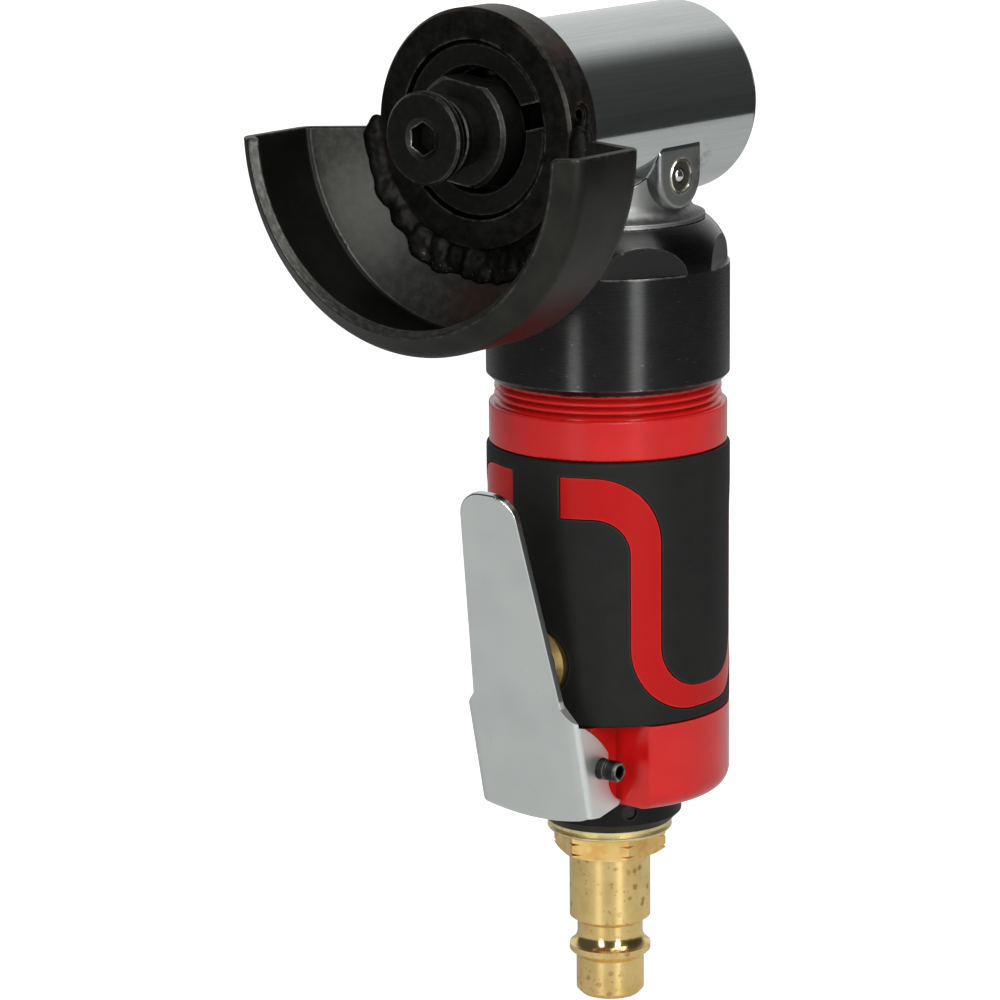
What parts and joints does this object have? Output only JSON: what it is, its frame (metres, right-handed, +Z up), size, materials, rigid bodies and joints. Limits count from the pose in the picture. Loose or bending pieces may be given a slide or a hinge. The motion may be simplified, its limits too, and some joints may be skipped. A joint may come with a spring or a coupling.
{
  "type": "right angle air grinder",
  "caption": "Compact air-driven right angle grinder with a disc arbor, half-round guard, sprung throttle lever, rubber grip and plug-in air nipple.",
  "frame": {"origin": "centre of the air nipple's tip", "axes": "+Z up the handle axis from the nipple to the head; the spindle crosses that axis at the top and points along -Y; the lever is on the -Y side and its pin lies along X; the grease fitting is on +X"},
  "size_m": [0.0587, 0.0651, 0.1487],
  "materials": {
    "brass": "bright turned brass, lightly tarnished",
    "yellow_zinc": "yellow passivated zinc plating",
    "black_deflector": "black, satin",
    "felt": "pressed felt",
    "red_body": "glossy red",
    "black_rubber": "matte moulded rubber",
    "chrome": "chrome plated sheet",
    "polished_aluminium": "polished",
    "blued_collar": "blued, turned",
    "black_oxide": "black oxide, worn at the edges",
    "bright_steel": "ground steel",
    "cast_motor": "honed cast iron",
    "vane_composite": "phenolic fibre"
  },
  "bodies": {
    "handle_body": {"air_nipple": "brass", "valve_bush": "brass", "inlet_bushing": "yellow_zinc", "motor_housing": "red_body", "grip_sleeve": "black_rubber", "angle_head_housing": "polished_aluminium", "clamp_collar": "blued_collar", "spindle_retaining_nut": "black_oxide", "lever_pin": "black_oxide", "grease_fitting": "bright_steel", "valve_spring": "bright_steel", "grease_spring": "bright_steel", "cylinder_dowel": "bright_steel", "preload_washer": "bright_steel", "neck_snap_ring": "bright_steel", "pinion_circlip": "bright_steel", "rear_rotor_bearing_outer_ring": "bright_steel", "front_rotor_bearing_outer_ring": "bright_steel", "pinion_bearing_outer_ring": "bright_steel", "front_spindle_bearing_outer_ring": "bright_steel", "rear_spindle_bearing_outer_ring": "bright_steel", "rear_end_plate": "cast_motor", "motor_cylinder": "cast_motor", "front_end_plate": "cast_motor"},
    "rotor_body": {"rotor": "bright_steel", "rotor_vanes": "vane_composite", "bevel_pinion": "bright_steel", "rear_rotor_bearing_inner_ring": "bright_steel", "front_rotor_bearing_inner_ring": "bright_steel", "pinion_bearing_inner_ring": "bright_steel"},
    "spindle_body": {"spindle": "black_oxide", "bevel_gear": "bright_steel", "gear_key": "bright_steel", "clamp_washer": "black_oxide", "arbor_screw": "black_oxide", "front_spindle_bearing_inner_ring": "bright_steel", "rear_spindle_bearing_inner_ring": "bright_steel"},
    "lever_body": {"throttle_lever": "chrome"},
    "valve_body": {"valve_stem": "bright_steel", "valve_seal": "black_rubber"},
    "guard_body": {"guard_ring": "black_oxide", "guard_shell": "black_oxide", "guard_weld": "black_oxide", "guard_set_screw": "black_oxide"},
    "deflector_body": {"exhaust_deflector": "black_deflector", "muffler_felt": "felt"},
    "grease_check_body": {"grease_ball": "bright_steel"},
    "rear_rotor_bearing_ball_set": {"rear_rotor_bearing_balls": "bright_steel"},
    "front_rotor_bearing_ball_set": {"front_rotor_bearing_balls": "bright_steel"},
    "pinion_bearing_ball_set": {"pinion_bearing_balls": "bright_steel"},
    "front_spindle_bearing_ball_set": {"front_spindle_bearing_balls": "bright_steel"},
    "rear_spindle_bearing_ball_set": {"rear_spindle_bearing_balls": "bright_steel"}
  },
  "joints": [
    {"name": "rotor_spin", "type": "hinge", "parent": "handle_body", "child": "rotor_body", "pos_m": [0, 0, 0.08], "axis": [0, 0, 1], "continuous": true},
    {"name": "spindle_spin", "type": "hinge", "parent": "handle_body", "child": "spindle_body", "pos_m": [0, 0, 0.132], "axis": [0, 1, 0], "continuous": true},
    {"name": "rear_rotor_ball_orbit", "type": "hinge", "parent": "handle_body", "child": "rear_rotor_bearing_ball_set", "pos_m": [0, 0, 0.0637], "axis": [0, 0, 1], "continuous": true},
    {"name": "front_rotor_ball_orbit", "type": "hinge", "parent": "handle_body", "child": "front_rotor_bearing_ball_set", "pos_m": [0, 0, 0.0963], "axis": [0, 0, 1], "continuous": true},
    {"name": "pinion_ball_orbit", "type": "hinge", "parent": "handle_body", "child": "pinion_bearing_ball_set", "pos_m": [0, 0, 0.1157], "axis": [0, 0, 1], "continuous": true},
    {"name": "front_spindle_ball_orbit", "type": "hinge", "parent": "handle_body", "child": "front_spindle_bearing_ball_set", "pos_m": [0, -0.023, 0.132], "axis": [0, 1, 0], "continuous": true},
    {"name": "rear_spindle_ball_orbit", "type": "hinge", "parent": "handle_body", "child": "rear_spindle_bearing_ball_set", "pos_m": [0, 0.01275, 0.132], "axis": [0, 1, 0], "continuous": true},
    {"name": "lever_press", "type": "hinge", "parent": "handle_body", "child": "lever_body", "pos_m": [0, -0.0149, 0.0395], "axis": [-1, 0, 0], "range_deg": [0, 10], "stiffness_Nm_per_rad": 0.7, "springref_deg": -5.73},
    {"name": "valve_push", "type": "slide", "parent": "handle_body", "child": "valve_body", "axis": [0, 1, 0], "range_m": [0, 0.0028], "deforming": ["valve_spring"]},
    {"name": "guard_turn", "type": "hinge", "parent": "handle_body", "child": "guard_body", "pos_m": [0, -0.0273, 0.132], "axis": [0, 1, 0], "continuous": true},
    {"name": "deflector_turn", "type": "hinge", "parent": "handle_body", "child": "deflector_body", "pos_m": [0, 0, 0.0306], "axis": [0, 0, 1], "continuous": true},
    {"name": "grease_ball_push", "type": "slide", "parent": "handle_body", "child": "grease_check_body", "axis": [-1, 0, 0], "range_m": [0, 0.0006], "stiffness_N_per_m": 50, "springref_m": -0.0005, "deforming": ["grease_spring"]}
  ],
  "couplings": [
    {"joint": "spindle_spin", "follows": "rotor_spin", "ratio": 0.66667},
    {"joint": "rear_rotor_ball_orbit", "follows": "rotor_spin", "ratio": 0.38889},
    {"joint": "front_rotor_ball_orbit", "follows": "rotor_spin", "ratio": 0.38889},
    {"joint": "pinion_ball_orbit", "follows": "rotor_spin", "ratio": 0.4},
    {"joint": "front_spindle_ball_orbit", "follows": "rotor_spin", "ratio": 0.24533},
    {"joint": "rear_spindle_ball_orbit", "follows": "rotor_spin", "ratio": 0.24},
    {"joint": "valve_push", "follows": "lever_press", "m_per_rad": 0.01546}
  ]
}
